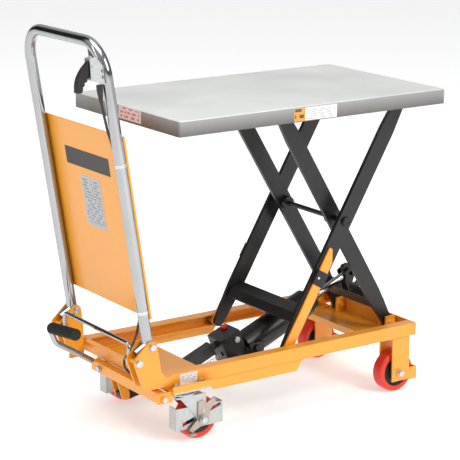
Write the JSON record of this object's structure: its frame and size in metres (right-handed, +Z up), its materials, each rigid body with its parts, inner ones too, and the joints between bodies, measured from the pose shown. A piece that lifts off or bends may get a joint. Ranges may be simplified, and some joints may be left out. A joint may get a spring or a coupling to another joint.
{
  "type": "scissor lift table",
  "caption": "Mobile foot-pumped scissor lift table on fixed wheels and braked casters, with a chromed push handle and orange chassis, shown raised.",
  "frame": {"origin": "centre of the bounding box's base, on the floor", "axes": "+X from the push handle towards the fixed wheels, +Y to the left when pushing along +X, +Z up"},
  "size_m": [0.958, 0.45, 0.9297],
  "materials": {
    "orange_paint": "glossy orange powder coat",
    "black_paint": "satin black paint",
    "zinc": "zinc plated pressed steel",
    "chrome": "polished chrome tube",
    "steel": "bare turned or brushed steel",
    "tyre_red": "red polyurethane",
    "black_rubber": "moulded black rubber",
    "black_plastic": "moulded black plastic",
    "red_plastic": "red plastic cap"
  },
  "bodies": {
    "chassis": {"rail_near": "orange_paint", "rail_far": "orange_paint", "handle_end_member": "orange_paint", "deck_plate": "orange_paint", "caster_ledge_near": "orange_paint", "caster_ledge_far": "orange_paint", "far_cross_channel": "orange_paint", "far_end_member": "orange_paint", "wheel_fork_near": "orange_paint", "wheel_fork_far": "orange_paint", "arm_clevis_near": "orange_paint", "arm_clevis_far": "orange_paint", "pump_cradle": "black_paint", "handle_bracket_near": "orange_paint", "handle_bracket_far": "orange_paint", "caster_plate_near": "zinc", "caster_plate_far": "zinc", "pump_block": "black_paint", "valve_cap": "red_plastic"},
    "inner_arms": {"inner_arm_near": "black_paint", "inner_arm_far": "black_paint", "inner_beam": "black_paint", "centre_axle": "steel"},
    "outer_arms": {"outer_arm_near": "black_paint", "outer_arm_far": "black_paint", "outer_beam": "black_paint"},
    "table": {"table_pan": "steel"},
    "cylinder": {"cylinder_barrel": "black_paint"},
    "rod": {"piston_rod": "chrome"},
    "treadle": {"treadle_beam": "orange_paint", "pedal_tube": "chrome", "pedal_pad": "black_rubber"},
    "push_link": {"push_tube": "black_paint", "return_spring": "steel"},
    "handle": {"handle_tube": "chrome", "handle_gusset": "black_paint", "handle_panel": "orange_paint", "lever_bracket": "zinc", "release_cable": "black_rubber"},
    "lever": {"release_lever": "black_plastic"},
    "bail": {"handle_bail": "chrome"},
    "fixed_wheel_near": {"fixed_tyre_near": "tyre_red", "fixed_hub_near": "steel"},
    "caster_swivel_near": {"caster_fork_near": "zinc"},
    "caster_wheel_near": {"caster_tyre_near": "tyre_red", "caster_hub_near": "steel"},
    "caster_brake_near": {"caster_brake_near": "steel"},
    "lower_roller_near": {"lower_roller_near": "steel"},
    "upper_roller_near": {"upper_roller_near": "steel"},
    "prop_near": {"safety_prop_near": "orange_paint"},
    "fixed_wheel_far": {"fixed_tyre_far": "tyre_red", "fixed_hub_far": "steel"},
    "caster_swivel_far": {"caster_fork_far": "zinc"},
    "caster_wheel_far": {"caster_tyre_far": "tyre_red", "caster_hub_far": "steel"},
    "caster_brake_far": {"caster_brake_far": "steel"},
    "lower_roller_far": {"lower_roller_far": "steel"},
    "upper_roller_far": {"upper_roller_far": "steel"},
    "prop_far": {"safety_prop_far": "orange_paint"}
  },
  "joints": [
    {"name": "lift", "type": "hinge", "parent": "chassis", "child": "inner_arms", "pos_m": [0.422, 0, 0.1535], "axis": [0, -1, 0], "range_deg": [0, 54.4]},
    {"name": "outer_arm_turn", "type": "hinge", "parent": "inner_arms", "child": "outer_arms", "pos_m": [0.25173, 0, 0.44142], "axis": [0, -1, 0], "range_deg": [-109.3, 0.5]},
    {"name": "table_level", "type": "hinge", "parent": "outer_arms", "child": "table", "pos_m": [0.422, 0, 0.72934], "axis": [0, -1, 0], "range_deg": [-0.5, 54.9]},
    {"name": "cylinder_tilt", "type": "hinge", "parent": "chassis", "child": "cylinder", "pos_m": [0.071, 0, 0.1355], "axis": [0, 1, 0], "range_deg": [-0.5, 11.33]},
    {"name": "rod_stroke", "type": "slide", "parent": "cylinder", "child": "rod", "axis": [-0.9209, 0, -0.3899], "range_m": [-0.001, 0.0948]},
    {"name": "lower_roller_spin_near", "type": "hinge", "parent": "outer_arms", "child": "lower_roller_near", "pos_m": [0.08145, -0.165, 0.1535], "axis": [0, 1, 0], "continuous": true},
    {"name": "upper_roller_spin_near", "type": "hinge", "parent": "inner_arms", "child": "upper_roller_near", "pos_m": [0.08145, -0.116, 0.72934], "axis": [0, 1, 0], "continuous": true},
    {"name": "prop_swing_near", "type": "hinge", "parent": "outer_arms", "child": "prop_near", "pos_m": [0.08145, -0.148, 0.1535], "axis": [0, 1, 0], "range_deg": [-118, 0]},
    {"name": "fixed_wheel_spin_near", "type": "hinge", "parent": "chassis", "child": "fixed_wheel_near", "pos_m": [0.396, -0.1552, 0.05], "axis": [0, 1, 0], "continuous": true},
    {"name": "caster_swivel_near", "type": "hinge", "parent": "chassis", "child": "caster_swivel_near", "pos_m": [-0.216, -0.155, 0.1], "axis": [0, 0, 1], "continuous": true},
    {"name": "caster_wheel_spin_near", "type": "hinge", "parent": "caster_swivel_near", "child": "caster_wheel_near", "pos_m": [-0.178, -0.155, 0.05], "axis": [0, 1, 0], "continuous": true},
    {"name": "caster_brake_press_near", "type": "hinge", "parent": "caster_swivel_near", "child": "caster_brake_near", "pos_m": [-0.178, -0.155, 0.05], "axis": [0, -1, 0], "range_deg": [0, 12]},
    {"name": "lower_roller_spin_far", "type": "hinge", "parent": "outer_arms", "child": "lower_roller_far", "pos_m": [0.08145, 0.165, 0.1535], "axis": [0, 1, 0], "continuous": true},
    {"name": "upper_roller_spin_far", "type": "hinge", "parent": "inner_arms", "child": "upper_roller_far", "pos_m": [0.08145, 0.116, 0.72934], "axis": [0, 1, 0], "continuous": true},
    {"name": "prop_swing_far", "type": "hinge", "parent": "outer_arms", "child": "prop_far", "pos_m": [0.08145, 0.148, 0.1535], "axis": [0, 1, 0], "range_deg": [-118, 0]},
    {"name": "fixed_wheel_spin_far", "type": "hinge", "parent": "chassis", "child": "fixed_wheel_far", "pos_m": [0.396, 0.1552, 0.05], "axis": [0, 1, 0], "continuous": true},
    {"name": "caster_swivel_far", "type": "hinge", "parent": "chassis", "child": "caster_swivel_far", "pos_m": [-0.216, 0.155, 0.1], "axis": [0, 0, 1], "continuous": true},
    {"name": "caster_wheel_spin_far", "type": "hinge", "parent": "caster_swivel_far", "child": "caster_wheel_far", "pos_m": [-0.178, 0.155, 0.05], "axis": [0, 1, 0], "continuous": true},
    {"name": "caster_brake_press_far", "type": "hinge", "parent": "caster_swivel_far", "child": "caster_brake_far", "pos_m": [-0.178, 0.155, 0.05], "axis": [0, -1, 0], "range_deg": [0, 12]},
    {"name": "pedal_press", "type": "hinge", "parent": "chassis", "child": "treadle", "pos_m": [-0.29, 0, 0.124], "axis": [0, -1, 0], "range_deg": [0, 16], "stiffness_Nm_per_rad": 40},
    {"name": "push_tube_slide", "type": "slide", "parent": "chassis", "child": "push_link", "axis": [0.9245, 0, 0.3811], "range_m": [-0.0005, 0.0146]},
    {"name": "handle_fold", "type": "hinge", "parent": "chassis", "child": "handle", "pos_m": [-0.311, 0, 0.245], "axis": [0, 1, 0], "range_deg": [0, 10]},
    {"name": "release_pull", "type": "hinge", "parent": "handle", "child": "lever", "pos_m": [-0.44271, -0.168, 0.87438], "axis": [0, -1, 0], "range_deg": [0, 14], "stiffness_Nm_per_rad": 1},
    {"name": "bail_swing", "type": "hinge", "parent": "chassis", "child": "bail", "pos_m": [-0.346, 0, 0.214], "axis": [0, -1, 0], "range_deg": [0, 40]}
  ],
  "couplings": [
    {"joint": "outer_arm_turn", "follows": "lift", "ratio": -2},
    {"joint": "table_level", "follows": "lift", "ratio": 1},
    {"joint": "cylinder_tilt", "follows": "lift", "ratio": 0.199},
    {"joint": "rod_stroke", "follows": "lift", "m_per_rad": 0.0977},
    {"joint": "push_tube_slide", "follows": "pedal_press", "m_per_rad": 0.0499}
  ]
}
